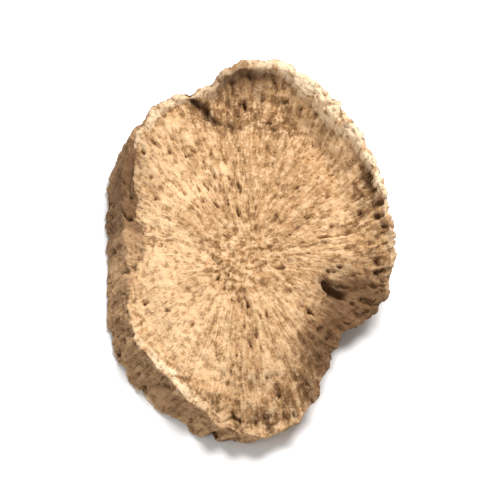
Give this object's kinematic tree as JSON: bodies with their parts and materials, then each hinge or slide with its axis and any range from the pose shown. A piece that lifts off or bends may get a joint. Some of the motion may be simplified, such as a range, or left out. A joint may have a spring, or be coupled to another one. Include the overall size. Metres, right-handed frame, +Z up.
{
  "type": "dried burdock root slice",
  "caption": "Oval slice of dried burdock root with a rough cut face, a curled-up edge and wrinkled bark round its side, lying flat.",
  "frame": {"origin": "on the surface that the slice lies on, under the middle of its bounding box", "axes": "+Z up out of the upper cut face, +Y along the oval's long way, +X along its short way, so that the curled-up edge is towards +X and +Y"},
  "size_m": [0.0152, 0.0212, 0.0047],
  "materials": {
    "dried_root": "dry, matt and fibrous, pale tan on the cut faces and brown in the furrows of the bark"
  },
  "bodies": {
    "root": {"burdock_slice": "dried_root"}
  },
  "joints": []
}
